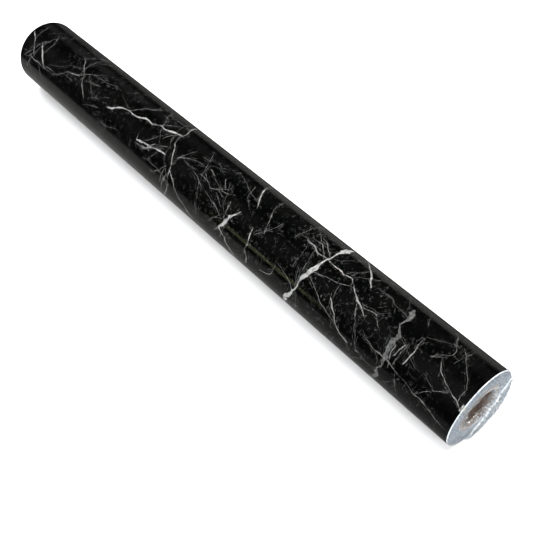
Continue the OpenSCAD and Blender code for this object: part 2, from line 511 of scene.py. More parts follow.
def marble(name, worn=0.0):
    m = Mat(name)
    o, x, t = roll_coordinates(m)
    coarse = m.split(m.noise(o, 70.0, 3.0, 0.6)[1])
    fine = m.split(m.noise(o, 330.0, 5.0, 0.78)[1])
    jx = m.math("MULTIPLY_ADD", m.math("SUBTRACT", coarse[0], 0.5), 4.6, m.math("MULTIPLY", m.math("SUBTRACT", fine[0], 0.5), 3.6))
    js = m.math("MULTIPLY_ADD", m.math("SUBTRACT", coarse[1], 0.5), 4.6, m.math("MULTIPLY", m.math("SUBTRACT", fine[1], 0.5), 3.6))
    xm = m.math("ADD", x, jx)                                  # mm along the roll, wandering
    sm = m.math("MULTIPLY_ADD", t, 360 * MM_PER_DEG, js)       # mm round the roll, wandering
    xn = m.math("MULTIPLY_ADD", xm, 1 / (2 * HALF), 0.5)
    tn = m.math("MULTIPLY", sm, 1 / (360 * MM_PER_DEG))
    soft = 0.24
    swell = m.remap(m.noise(o, 120.0, 3.0, 0.6)[0], 0.32, 0.68, 0.35, 1.45)
    offset = m.remap(m.noise(m.vec("ADD", o, (0.7, 0.2, 2.0)), 55.0, 3.0, 0.6)[0], 0.34, 0.66, 0.8, 5.5)
    total = near = strand = None
    kinds = {}
    for kind, full in (("a", 1220.0), ("x", 360 * MM_PER_DEG)):
        kinds[kind] = (full, m.math("MULTIPLY", swell, full / (WIDTH_GAIN * 2 * soft)), m.math("MULTIPLY", offset, 1 / full))
    for kind, R_, G_, B_ in tracks(print_veins()):
        drive, cross = (tn, xn) if kind == "a" else (xn, tn)
        full, kw, off = kinds[kind]
        n = m.node("ShaderNodeRGBCurve")
        cm = n.mapping
        for i, pts in enumerate((R_, G_, B_)):
            set_curve(cm.curves[i], pts)
        cm.update()
        m.put(n.inputs["Color"], drive)
        sep = m.node("ShaderNodeSeparateColor")
        m.put(sep.inputs[0], n.outputs[0])
        dist = m.math("ABSOLUTE", m.math("SUBTRACT", cross, sep.outputs[0]))
        wide = m.math("MULTIPLY_ADD", sep.outputs[1], kw, 0.5)
        inside = m.math("MULTIPLY_ADD", dist, -full / (2 * soft), wide, clamp=True)
        lit = m.math("MULTIPLY", inside, sep.outputs[2])
        halo = m.math("MULTIPLY", m.math("MULTIPLY_ADD", dist, -full / 13.0, 1.0, clamp=True), sep.outputs[2])
        side = m.math("ABSOLUTE", m.math("SUBTRACT", dist, off))
        split = m.math("MULTIPLY", m.math("MULTIPLY_ADD", side, -full / (2 * soft), 0.75, clamp=True), sep.outputs[2])
        total = lit if total is None else m.math("MAXIMUM", total, lit)
        near = halo if near is None else m.math("MAXIMUM", near, halo)
        strand = split if strand is None else m.math("MAXIMUM", strand, split)
    # broken, cloudy insides of the veins, and thin strands beside them
    cloud = m.noise(o, 300.0, 4.0, 0.66)[0]
    grainy = m.noise(m.xyz(m.math("MULTIPLY", xm, 0.001), m.math("MULTIPLY", sm, 0.00045), 0.0), 430.0, 4.0, 0.7, dims="2D")[0]
    total = m.math("MULTIPLY", total, m.remap(m.math("MULTIPLY_ADD", grainy, 0.55, m.math("MULTIPLY", cloud, 0.45)), 0.40, 0.56, 0.18, 1.0))
    gaps = m.remap(m.noise(o, 85.0, 4.0, 0.65)[0], 0.50, 0.58, 0.0, 0.50)
    total = m.math("MAXIMUM", total, m.math("MULTIPLY", strand, gaps))
    # fine net of hairline cracks: short streaks round the roll, gathered along the veins and in patches
    patch = m.remap(m.noise(o, 8.0, 2.0, 0.5)[0], 0.42, 0.66, 0.10, 0.55)
    where = m.math("ADD", m.math("MULTIPLY", near, 0.95), patch, clamp=True)
    flat = m.xyz(m.math("MULTIPLY", xm, 0.001), m.math("MULTIPLY", sm, 0.00024), 0.0)
    thin = m.noise(flat, 170.0, 3.0, 0.6, dims="2D")[0]
    hair = m.remap(m.math("ABSOLUTE", m.math("SUBTRACT", thin, 0.5)), 0.0, 0.013, 1.0, 0.0)
    cut = m.remap(m.noise(o, 150.0, 3.0, 0.6)[0], 0.53, 0.60, 0.0, 1.0)
    net = m.math("MULTIPLY", m.math("MULTIPLY", hair, cut), m.math("MULTIPLY", where, 0.42))
    v = m.node("ShaderNodeTexVoronoi", voronoi_dimensions="2D", feature="DISTANCE_TO_EDGE")
    m.put(v.inputs["Vector"], m.xyz(m.math("MULTIPLY", xm, 0.001), m.math("MULTIPLY", sm, 0.00045), 0.0))
    v.inputs["Scale"].default_value = 92.0
    cell = m.remap(v.outputs["Distance"], 0.0, 0.022, 1.0, 0.0)
    cut2 = m.remap(m.noise(m.vec("ADD", o, (1.3, 0.1, 0.9)), 75.0, 3.0, 0.6)[0], 0.52, 0.60, 0.0, 1.0)
    net2 = m.math("MULTIPLY", m.math("MULTIPLY", cell, cut2), m.math("MULTIPLY", where, 0.22))
    v3 = m.node("ShaderNodeTexVoronoi", voronoi_dimensions="3D", feature="F1")
    m.put(v3.inputs["Vector"], o)
    v3.inputs["Scale"].default_value = 260.0
    fleck = m.math("MULTIPLY", m.remap(v3.outputs["Distance"], 0.06, 0.15, 0.07, 0.0), m.math("MULTIPLY", m.remap(cloud, 0.54, 0.64, 0.0, 1.0), where))
    total = m.math("MAXIMUM", m.math("MAXIMUM", total, m.math("MAXIMUM", net, net2)), fleck)
    smoke = m.remap(m.noise(o, 20.0, 5.0, 0.62)[0], 0.48, 0.78)
    black = m.mix(smoke, (0.0004, 0.00045, 0.00045), (0.0022, 0.0023, 0.0020))
    tint = m.mix(m.noise(o, 30.0, 2.0)[0], (0.33, 0.335, 0.33), (0.47, 0.465, 0.45))
    color = m.mix(total, black, tint)
    # calendered surface with a faint grain
    grain = m.noise(o, 900.0, 2.0, 0.5)[0]
    wave = m.noise(m.vec("MULTIPLY", o, (0.35, 1, 1)), 26.0, 2.0, 0.5)[0]
    bump = m.bump(m.math("MULTIPLY_ADD", wave, 6.0, grain), 0.25, 0.00004)
    rough = m.remap(m.noise(o, 48.0, 3.0)[0], 0.35, 0.7, 0.085, 0.13)
    return m.out(m.principled(color, rough, bump, **{"Specular IOR Level": 0.42}))


MARBLE = marble("marble_vinyl")


def board(name):
    m = Mat(name)
    o = m.obj()
    x, y, z = m.split(o)
    r = m.math("MULTIPLY", m.vec("LENGTH", m.xyz(0.0, y, z)), 1000.0)
    a = m.math("MULTIPLY", m.math("ARCTAN2", z, y), 0.5 / math.pi)
    # the plies run in a helix of 138 mm pitch
    lean = m.math("ADD", m.math("MULTIPLY", x, 1 / 0.138), a)
    along = m.math("SUBTRACT", m.math("MULTIPLY", x, 1.0), m.math("MULTIPLY", a, 0.2))
    fibre = m.noise(m.xyz(m.math("MULTIPLY", lean, 0.14), m.math("MULTIPLY", along, 0.10), m.math("MULTIPLY", r, 0.001)), 900.0, 4.0, 0.6)[0]
    blot = m.noise(o, 45.0, 4.0, 0.6)[0]
    speck = m.noise(o, 1400.0, 1.0)[0]
    ply = m.noise(None, 1.0, 1.0, dims="1D", w=m.math("MULTIPLY", r, 2.4))[0]
    tone = m.math("MULTIPLY_ADD", fibre, 0.45, m.math("MULTIPLY_ADD", blot, 0.4, m.math("MULTIPLY", ply, 0.3)))
    color = m.ramp(m.remap(tone, 0.35, 0.85), [(0.0, (0.135, 0.072, 0.040)), (0.5, (0.235, 0.135, 0.080)), (1.0, (0.36, 0.225, 0.145))])
    color = m.mix(m.remap(speck, 0.62, 0.75, 0.0, 0.5), color, (0.10, 0.055, 0.03))
    sawn = m.remap(m.math("ABSOLUTE", x), 0.6088, 0.6096, 0.0, 0.7)
    color = m.mix(sawn, color, m.mix(fibre, (0.30, 0.25, 0.20), (0.52, 0.47, 0.41)))
    bump = m.bump(m.math("ADD", fibre, m.math("MULTIPLY", speck, 0.5)), 0.5, 0.00008)
    return m.out(m.principled(color, m.remap(blot, 0.3, 0.7, 0.72, 0.9), bump))


BOARD = board("core_board")


def web_edge(name):
    """Cut edges of the wound turns: pale liner with thin dark and bright lines, mottled where turns stand a little proud."""
    m = Mat(name)
    o = m.obj()
    x, y, z = m.split(o)
    r = m.math("MULTIPLY", m.vec("LENGTH", m.xyz(0.0, y, z)), 1000.0)
    a = m.math("MULTIPLY", m.math("ARCTAN2", z, y), 0.5 / math.pi)
    turn = m.math("SUBTRACT", m.math("MULTIPLY", r, 1 / TURN), a)
    each = m.noise(None, 1.0, 0.0, dims="1D", w=turn)[0]
    bands = m.noise(None, 0.11, 3.0, 0.65, dims="1D", w=turn)[0]
    mottle = m.noise(o, 300.0, 4.0, 0.7)[0]
    streak = m.noise(m.xyz(m.math("MULTIPLY", turn, 0.05), m.math("MULTIPLY", a, 12.0), x), 3.0, 3.0, 0.6)[0]
    speck = m.noise(m.vec("ADD", o, (0.4, 0.9, 0.2)), 560.0, 3.0, 0.65)[0]
    tone = m.math("MULTIPLY_ADD", each, 0.30, m.math("MULTIPLY_ADD", bands, 0.32, m.math("MULTIPLY_ADD", mottle, 1.0, m.math("MULTIPLY_ADD", streak, 0.25, m.math("MULTIPLY", speck, 0.55)))))
    color = m.ramp(m.remap(tone, 1.09, 1.33), [(0.0, (0.07, 0.10, 0.15)), (0.30, (0.23, 0.30, 0.38)), (0.62, (0.42, 0.50, 0.57)), (1.0, (0.78, 0.82, 0.85))])
    dark = m.remap(m.math("FRACT", turn), 0.80, 0.90, 0.0, 0.5)
    color = m.mix(dark, color, (0.06, 0.075, 0.10))
    color = m.mix(m.remap(r, 68.6, 69.6, 0.0, 0.55), color, (0.86, 0.88, 0.90))
    bump = m.bump(m.math("ADD", each, mottle), 0.5, 0.00012)
    return m.out(m.principled(color, 0.48, bump))


EDGE = web_edge("web_edge")


def liner_paper(name):
    m = Mat(name)
    o = m.obj()
    fibre = m.noise(m.vec("MULTIPLY", o, (0.3, 1, 1)), 700.0, 3.0, 0.6)[0]
    blot = m.noise(o, 60.0, 3.0)[0]
    color = m.mix(m.math("MULTIPLY_ADD", fibre, 0.6, m.math("MULTIPLY", blot, 0.5)), (0.60, 0.66, 0.73), (0.82, 0.85, 0.88))
    bump = m.bump(fibre, 0.4, 0.00004)
    return m.out(m.principled(color, m.remap(blot, 0.3, 0.7, 0.30, 0.45), bump))


LINER = liner_paper("release_liner")


def start_tape(name):
    m = Mat(name)
    o = m.obj()
    weave = m.noise(m.vec("MULTIPLY", o, (1, 3, 3)), 300.0, 3.0)[0]
    color = m.mix(weave, (0.66, 0.62, 0.50), (0.85, 0.83, 0.75))
    return m.out(m.principled(color, m.remap(weave, 0.3, 0.7, 0.35, 0.55), m.bump(weave, 0.3, 0.00005)))


START_TAPE = start_tape("double_sided_tape")


def clear_film(name, gloss=0.9, haze_and_highlights=(0.0, 0.03), rough=0.07, crinkle=0.0, tint=(0.86, 0.90, 0.94), attribute=None):
    """Thin clear film: it lets light straight through, mirrors by Fresnel, and where it is creased or stretched it is a
    little milky. The attribute, when given, adds haze and painted highlights from the mesh.
    """
    m = Mat(name)
    o = m.obj()
    soft = m.noise(o, 60.0, 3.0, 0.6)[0]
    scratch = m.noise(m.vec("MULTIPLY", o, (0.22, 1, 1)), 330.0, 3.0, 0.6)[0]
    height = m.math("MULTIPLY_ADD", scratch, 0.35, soft)
    if crinkle:
        v = m.node("ShaderNodeTexVoronoi", feature="DISTANCE_TO_EDGE")
        m.put(v.inputs["Vector"], m.vec("ADD", o, m.vec("SCALE", m.noise(o, 90.0, 2.0)[1], scale=0.006)))
        v.inputs["Scale"].default_value = 300.0
        crease = m.remap(v.outputs["Distance"], 0.0, 0.4)
        height = m.math("MULTIPLY_ADD", crease, crinkle, height)
    normal = m.bump(height, 0.6, 0.00035 if crinkle else 0.00022)
    g = m.node("ShaderNodeBsdfGlossy")
    g.inputs["Color"].default_value = (1, 1, 1, 1)
    g.inputs["Roughness"].default_value = rough
    m.put(g.inputs["Normal"], normal)
    clear = m.node("ShaderNodeBsdfTransparent")
    clear.inputs[0].default_value = (0.985, 0.99, 0.992, 1)
    milky = m.principled(tint, 0.45, normal)
    fres = m.node("ShaderNodeFresnel")
    fres.inputs["IOR"].default_value = 1.48
    m.put(fres.inputs["Normal"], normal)
    cloudy_and_highlights = m.remap(m.noise(o, 34.0, 4.0, 0.65)[0], 0.38, 0.68, haze_and_highlights[0], haze_and_highlights[1])
    # the attribute from the mesh adds its haze and its painted highlights, broken into streaky patches
    if attribute:
        at = m.node("ShaderNodeAttribute", attribute_name=attribute)
        _, y, z = m.split(o)
        radial = m.xyz(m.math("MULTIPLY", m.math("ARCTAN2", z, y), 14.0), m.math("MULTIPLY", m.vec("LENGTH", m.xyz(0.0, y, z)), 90.0), 0.0)
        streaks = m.noise(radial, 1.0, 4.0, 0.7, distortion=0.6)[0]
        patchy = m.remap(m.math("MULTIPLY_ADD", streaks, 0.6, m.math("MULTIPLY", m.noise(o, 430.0, 4.0, 0.75)[0], 0.6)), 0.46, 0.66, 0.05, 1.35)
        cloudy_and_highlights = m.math("MULTIPLY_ADD", at.outputs["Fac"], patchy, cloudy_and_highlights, clamp=True)
    m1 = m.node("ShaderNodeMixShader")
    m.put(m1.inputs[0], cloudy_and_highlights)
    m.put(m1.inputs[1], clear.outputs[0])
    m.put(m1.inputs[2], milky)
    m2 = m.node("ShaderNodeMixShader")
    m.put(m2.inputs[0], m.math("MULTIPLY", fres.outputs[0], gloss, clamp=True))
    m.put(m2.inputs[1], m1.outputs[0])
    m.put(m2.inputs[2], g.outputs[0])
    return m.out(m2.outputs[0])


FILM = clear_film("clear_film", gloss=0.62, haze_and_highlights=(0.0, 0.0006), rough=0.05)
FILM_END = clear_film("clear_film_gathered", gloss=1.0, haze_and_highlights=(0.0, 0.05), rough=0.09, crinkle=2.0, attribute="haze_and_highlights")


def tape(name):
    """Clear packing tape: faintly milky, with a few trapped bubbles and a soft gloss."""
    m = Mat(name)
    o = m.obj()
    soft = m.noise(o, 90.0, 3.0, 0.55)[0]
    lines = m.noise(m.vec("MULTIPLY", o, (1.0, 0.15, 0.15)), 260.0, 2.0, 0.5)[0]
    v = m.node("ShaderNodeTexVoronoi", feature="F1")
    m.put(v.inputs["Vector"], m.vec("ADD", o, m.vec("SCALE", m.noise(o, 70.0, 2.0)[1], scale=0.01)))
    v.inputs["Scale"].default_value = 130.0
    bubble = m.math("MULTIPLY", m.remap(v.outputs["Distance"], 0.16, 0.26, 1.0, 0.0), m.remap(soft, 0.48, 0.56))
    normal = m.bump(m.math("MULTIPLY_ADD", bubble, 0.8, m.math("MULTIPLY_ADD", lines, 0.3, soft)), 0.4, 0.0001)
    clear = m.node("ShaderNodeBsdfTransparent")
    clear.inputs[0].default_value = (0.97, 0.97, 0.95, 1)
    body = m.principled(m.mix(soft, (0.62, 0.63, 0.61), (0.76, 0.76, 0.73)), 0.22, normal)
    m1 = m.node("ShaderNodeMixShader")
    m.put(m1.inputs[0], m.math("MULTIPLY_ADD", bubble, 0.12, m.remap(soft, 0.35, 0.7, 0.06, 0.11), clamp=True))
    m.put(m1.inputs[1], clear.outputs[0])
    m.put(m1.inputs[2], body)
    return m.out(m1.outputs[0])


TAPE = tape("clear_tape")


# ------------------------------------------------------------------ mesh helpers
def polar(x, r, phi):
    x, r, phi = np.broadcast_arrays(np.asarray(x, float), np.asarray(r, float), np.asarray(phi, float))
    a = np.radians(phi)
    return np.stack([x, r * np.cos(a), r * np.sin(a)], -1) * 0.001


def quads(nu, nv, closed_u=False, closed_v=False, flip=False, base=0):
    A, B = np.meshgrid(np.arange(nu if closed_u else nu - 1), np.arange(nv if closed_v else nv - 1), indexing="ij")
    A1, B1 = (A + 1) % nu, (B + 1) % nv
    q = np.stack([A * nv + B, A1 * nv + B, A1 * nv + B1, A * nv + B1], -1).reshape(-1, 4) + base
    return q[:, ::-1] if flip else q


def add(name, V, F, body, nodes, mats, which=None, smooth=True, replaced=True):
    me = bpy.data.meshes.new(name)
    V = np.asarray(V, np.float32).reshape(-1, 3)
    F = np.asarray(F, np.int32)
    me.vertices.add(len(V))
    me.vertices.foreach_set("co", V.ravel())
    me.loops.add(F.size)
    me.loops.foreach_set("vertex_index", F.ravel())
    me.polygons.add(len(F))
    me.polygons.foreach_set("loop_start", np.arange(0, F.size, F.shape[1], dtype=np.int32))
    for mat in mats:
        me.materials.append(mat)
    if which is not None:
        me.polygons.foreach_set("material_index", np.asarray(which, np.int32))
    me.polygons.foreach_set("use_smooth", np.broadcast_to(np.asarray(smooth), (len(F),)).astype(bool))
    me.update(calc_edges=True)
    me.validate()
    o = bpy.data.objects.new(name, me)
    scene.collection.objects.link(o)
    if body:
        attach(o, body)
    if replaced:
        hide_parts(*nodes)
    return o


def shell(outer, inner):
    """A thin closed sheet between two grids of the same size, rows along the roll and columns round it."""
    nu, nv = outer.shape[:2]
    n = nu * nv
    V = np.concatenate([outer.reshape(-1, 3), inner.reshape(-1, 3)])
    loop = ([i * nv for i in range(nu - 1)] + [(nu - 1) * nv + j for j in range(nv - 1)]
            + [i * nv + nv - 1 for i in range(nu - 1, 0, -1)] + [j for j in range(nv - 1, 0, -1)])
    a = np.array(loop)
    b = np.roll(a, -1)
    side = np.stack([a, b, b + n, a + n], -1)
    return V, np.concatenate([quads(nu, nv, flip=True), quads(nu, nv, base=n), side])


def waves(seed, X, P, terms, kx, kn):
    """Smooth random field over distance X (mm) and angle P (degrees), closed round the roll, about -1 to 1.
    kx is the range of cycles per mm along X, kn that of whole cycles round the roll."""
    rnd = random.Random(seed)
    out = np.zeros(np.broadcast(X, P).shape)
    for _ in range(terms):
        f = rnd.uniform(*kx) * rnd.choice((-1, 1))
        n = rnd.randint(*kn)
        out += math.cos(rnd.uniform(0, 0.6)) * np.cos(2 * math.pi * f * X + n * np.radians(P) + rnd.uniform(0, 2 * math.pi))
    return out / math.sqrt(terms / 2) / 1.6


def step(v, a, b):
    t = np.clip((np.asarray(v, float) - a) / (b - a), 0, 1)
    return t * t * (3 - 2 * t)


def angle_gap(a, b):
    return (np.asarray(a, float) - b + 180) % 360 - 180


def bend(o):
    """Bakes the sheet's world placement into its mesh."""
    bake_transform(o)


# ------------------------------------------------------------------ core
def core():
    seg = 320
    fine = 1.5
    rows_in = np.concatenate([np.arange(-HALF, -HALF + 75, fine), np.linspace(-HALF + 78, HALF - 78, 15),
                              np.arange(HALF - 75 + fine, HALF + 0.01, fine)])
    rows_in[0], rows_in[-1] = -HALF, HALF
    phi = np.arange(seg) * 360 / seg
    # closed profile: bore, near end with its plies, outside, far end
    plies = np.linspace(BORE, CORE, 23)
    prof = [(x, BORE, "in") for x in rows_in]
    rnd = random.Random(5)
    lift = {i: rnd.uniform(-0.10, 0.04) for i in range(1, 22)}
    prof += [(HALF, plies[i], i) for i in range(1, 22)]
    prof += [(x, CORE, "out") for x in np.linspace(HALF, -HALF, 9)]
    prof += [(-HALF, plies[i], i) for i in range(21, 0, -1)]
    V = []
    for x, r, kind in prof:
        X = np.full(seg, x)
        Rr = np.full(seg, r)
        if kind == "in":
            gap = angle_gap(phi, -x / 138 * 360)
            Rr = Rr + 0.28 * np.exp(-(gap / 1.35) ** 2) + 0.03 * waves(3, X, phi, 6, (0.01, 0.05), (2, 9))
            edge = HALF - abs(x)
            Rr = Rr + 0.35 * math.exp(-edge / 0.5)
        elif kind != "out":
            ridge = lift[kind] + 0.06 * waves(7 + kind, 0, phi, 5, (0, 0.001), (3, 30)) - 0.10 * (kind % 2)
            X = X + math.copysign(1, x) * np.minimum(ridge, 0.0)
        V.append(polar(X, Rr, phi))
    V = np.stack(V)
    F = quads(len(prof), seg, True, True, flip=False)
    return add("core_board", V, F, "roll", ["core_tube"], [BOARD])


core()
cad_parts["core_start_tape"].data.materials.clear()
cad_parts["core_start_tape"].data.materials.append(START_TAPE)


# ------------------------------------------------------------------ wound turns
def wound_turns():
    seg = 240
    phi = np.arange(seg) * 360 / seg
    turns = int(round((BED - CORE) / TURN))
    V, F, which = [], [], []
    starts = {}

    def proud(side, r, p):
        """How far the cut edge at this radius stands from the web's nominal width."""
        wander = 0.22 * waves(60 + side, r * 1.0, 0, 14, (0.02, 0.25), (0, 0))
        local = 0.12 * waves(70 + side, r * 1.0, p, 22, (0.02, 0.6), (1, 14))
        return np.clip(wander + local, -0.45, 0.06)

    for side in (1, -1):
        base = sum(len(v) for v in V)
        rows = []
        for k in range(turns):
            for q, h in ((0.06, 0.0), (0.50, 0.055), (0.86, -0.075)):
                r = CORE + (k + phi / 360 + q) * TURN
                r = np.minimum(r, BED - 0.02 + 0.0 * r)
                rows.append(polar(side * (HALF + proud(side, r, phi) + h), r, phi))
        rows = np.stack(rows)
        n = len(rows)
        V.append(rows.reshape(-1, 3))
        # a spiral: the last column of a row joins the first column of the row one turn out
        A, B = np.meshgrid(np.arange(n - 1), np.arange(seg), indexing="ij")
        nxt = lambda a, b: np.where(b + 1 < seg, a * seg + b + 1, np.minimum(a + 3, n - 1) * seg)
        q4 = np.stack([A * seg + B, nxt(A, B), nxt(A + 1, B), (A + 1) * seg + B], -1).reshape(-1, 4)
        keep = np.array([len(set(f)) == 4 for f in q4])
        q4 = q4[keep]
        F.append(base + (q4 if side == 1 else q4[:, ::-1]))
        which.append(np.ones(len(q4)))
        starts[side] = (base, base + (n - 1) * seg)
    # bore and barrel
    for r, flip, rows_x in ((CORE + 0.005, False, 5), (BED, True, 9)):
        base = sum(len(v) for v in V)
        xs = np.linspace(-HALF + 0.02, HALF - 0.02, rows_x)
        g = polar(xs[:, None], r, phi[None, :])
        V.append(g.reshape(-1, 3))
        f = quads(rows_x, seg, closed_v=True, flip=flip, base=base)
        F.append(f)
        which.append(np.zeros(len(f)))
        for side, row in ((1, rows_x - 1), (-1, 0)):
            inner = starts[side][0 if r < 50 else 1]
            B = np.arange(seg)
            B1 = (B + 1) % seg
            band = np.stack([base + row * seg + B, base + row * seg + B1, inner + B1, inner + B], -1)
            if (side == 1) == (r > 50):
                band = band[:, ::-1]
            F.append(band[:-1])
            which.append(np.ones(len(band) - 1))
    return add("wound_turns", np.concatenate(V), np.concatenate(F), "roll", ["inner_turns"], [MARBLE, EDGE],
               np.concatenate(which))


wound_turns()


def last_turn():
    x = np.linspace(-HALF, HALF, 205)[:, None]
    p = np.concatenate([np.arange(14.0, 330, 1.5), np.arange(330.0, 336.01, 1.0)])[None, :]
    bumps = 0.018 * waves(11, x, p, 16, (0.002, 0.012), (2, 12))
    out = R - 0.02 + bumps
    V, F = shell(polar(x, out, p), polar(x, out - 0.078, p))
    nu, nv = 205, p.shape[1]
    which = np.zeros(len(F))
    add("last_turn_film", V, F, "roll", ["outer_turn_film"], [MARBLE, LINER],
        np.concatenate([np.zeros((nu - 1) * (nv - 1)), np.ones(len(F) - (nu - 1) * (nv - 1))]))
    V, F = shell(polar(x, out - 0.088, p), polar(x, out - 0.172, p))
    add("last_turn_liner", V, F, "roll", ["outer_turn_liner"], [LINER])


last_turn()


def web_tail():
    x = np.linspace(-HALF, HALF, 205)[:, None]
    p = np.concatenate([np.arange(-24.6, -22.5, 0.25), np.arange(-22.35, -18, 0.5), np.arange(-17.85, 13.9, 1.0), [14.0]])[None, :]
    rise = step(p, -24.6, -20.5)
    lip = step(p, 10, 14)
    wav = waves(21, x, p, 10, (0.0015, 0.006), (2, 8))
    film = 70.47 + 0.36 * rise + 0.03 * wav * rise - 0.16 * lip
    V, F = shell(polar(x, film, p), polar(x, film - 0.085, p))
    nu, nv = 205, p.shape[1]
    front = (nu - 1) * (nv - 1)
    o = add("tail_film_print", V, F, None, ["tail_film"], [MARBLE, LINER],
            np.concatenate([np.zeros(front), np.ones(len(F) - front)]))
    bend(o)
    p = np.arange(-23.0, 14.01, 1.0)[None, :]
    wav = waves(21, x, p, 10, (0.0015, 0.006), (2, 8))
    liner = 70.56 + 0.03 * wav * step(p, -24.6, -20.5) - 0.03 * step(p, 10, 14)
    V, F = shell(polar(x, liner, p), polar(x, liner - 0.085, p))
    add("tail_liner_sheet", V, F, "liner_end", ["tail_liner"], [LINER])


web_tail()


def tapes(name, body, nodes, centres, length, a0, a1, height, seed):
    """Three short tapes across an edge, following it down, with a torn, slightly toothed cut at both ends."""
    V, F, base = [], [], 0
    for i, c in enumerate(centres):
        rnd = random.Random(seed + i)
        p = np.linspace(a0, a1, 30) + rnd.uniform(-0.4, 0.4)
        u = np.linspace(-0.5, 0.5, 41)
        skew = rnd.uniform(-1.2, 1.2)
        tooth = 0.28 * np.abs(((p * 3.1) % 2) - 1)
        x = c + u[:, None] * (length - 1.0) + skew * ((p - p.mean()) / (a1 - a0))[None, :] + np.sign(u)[:, None] * (np.abs(u)[:, None] > 0.499) * tooth[None, :]
        r = height(p)[None, :] + 0.015 * waves(seed + i, x, p[None, :], 12, (0.01, 0.08), (20, 90)) + 0.012
        v, f = shell(polar(x, r, p[None, :]), polar(x, r - 0.035, p[None, :]))
        V.append(v)
        F.append(f + base)
        base += len(v)
    return add(name, np.concatenate(V), np.concatenate(F), body, nodes, [TAPE])


tapes("tail_tape_strips", "web_tail", ["tail_tapes"], (-480, 0, 480), 60, 7, 17.6,
      lambda p: 70.90 - 0.16 * step(p, 9, 14) - 0.16 * step(p, 14.0, 15.4), 31)


# ------------------------------------------------------------------ clear overwrap
def wrinkle(x, p):
    """How far the overwrap stands off the print: shallow everywhere, with drawn folds near the ends and down one side."""
    e = HALF - np.abs(x)
    near = np.exp(-(HALF - x) / 120.0)
    far = np.exp(-(HALF + x) / 90.0)
    calm = 0.035 * (1 + waves(101, x, p, 18, (0.001, 0.008), (3, 16)))
    # tension folds run nearly along the roll, from the gathered ends
    folds = np.maximum(0, waves(103, x * 1.0, p, 26, (0.0008, 0.006), (14, 46))) ** 1.5
    side = np.exp(-(angle_gap(p, 50) / 16) ** 2) + 0.35 * np.exp(-(angle_gap(p, 196) / 12) ** 2) + 0.12
    out = calm + 0.34 * folds * side * (0.10 + near + 0.6 * far)
    rim = np.exp(-e / 7.0)
    out = out + rim * 0.10 * (1 + waves(107, x * 0, p, 16, (0, 0.0001), (10, 60)))
    return np.clip(out, 0.012, 1.2)


def overwrap():
    x = np.concatenate([np.linspace(-HALF + 1, -HALF + 40, 20), np.linspace(-HALF + 46, HALF - 46, 190), np.linspace(HALF - 40, HALF - 1, 20)])[:, None]
    p = np.arange(20.0, 330.01, 1.0)[None, :]
    r = R + 0.03 + wrinkle(x, p) * step(p, 20, 30)
    root = step(p, 318, 330)
    r = r * (1 - root) + (71.18 + 0.05 * waves(109, x, p, 8, (0.001, 0.01), (3, 9))) * root
    V = polar(x, r, p)
    o = add("overwrap_sleeve", V, quads(V.shape[0], V.shape[1], flip=True), "roll", ["wrap_sleeve"], [FILM])
    x = np.linspace(-HALF + 1, HALF - 1, 230)[:, None]
    p = np.arange(-30.0, 28.01, 1.0)[None, :]
    r = 71.22 + 0.05 * (1 + waves(113, x, p, 18, (0.001, 0.012), (4, 20))) * step(p, -30, -24)
    edge = step(p, 14, 24)
    r = r * (1 - edge) + (70.80 + 0.10 * (1 + waves(117, x, p, 14, (0.002, 0.02), (2, 12)))) * edge
    V = polar(x + 1.5 * waves(119, x, p, 8, (0.002, 0.01), (1, 3)) * 0, r, p + 0.5 * waves(121, x, 0, 9, (0.001, 0.008), (0, 0)) * step(p, 10, 28))
    o = add("overwrap_flap", V, quads(V.shape[0], V.shape[1], flip=True), None, ["wrap_flap"], [FILM])
    bend(o)
    tapes("flap_tape_strips", "flap", ["seam_tapes"], (-440, 0, 440), 70, 22, 33,
          lambda p: 71.10 - 0.22 * step(p, 24, 29.5), 51)


overwrap()


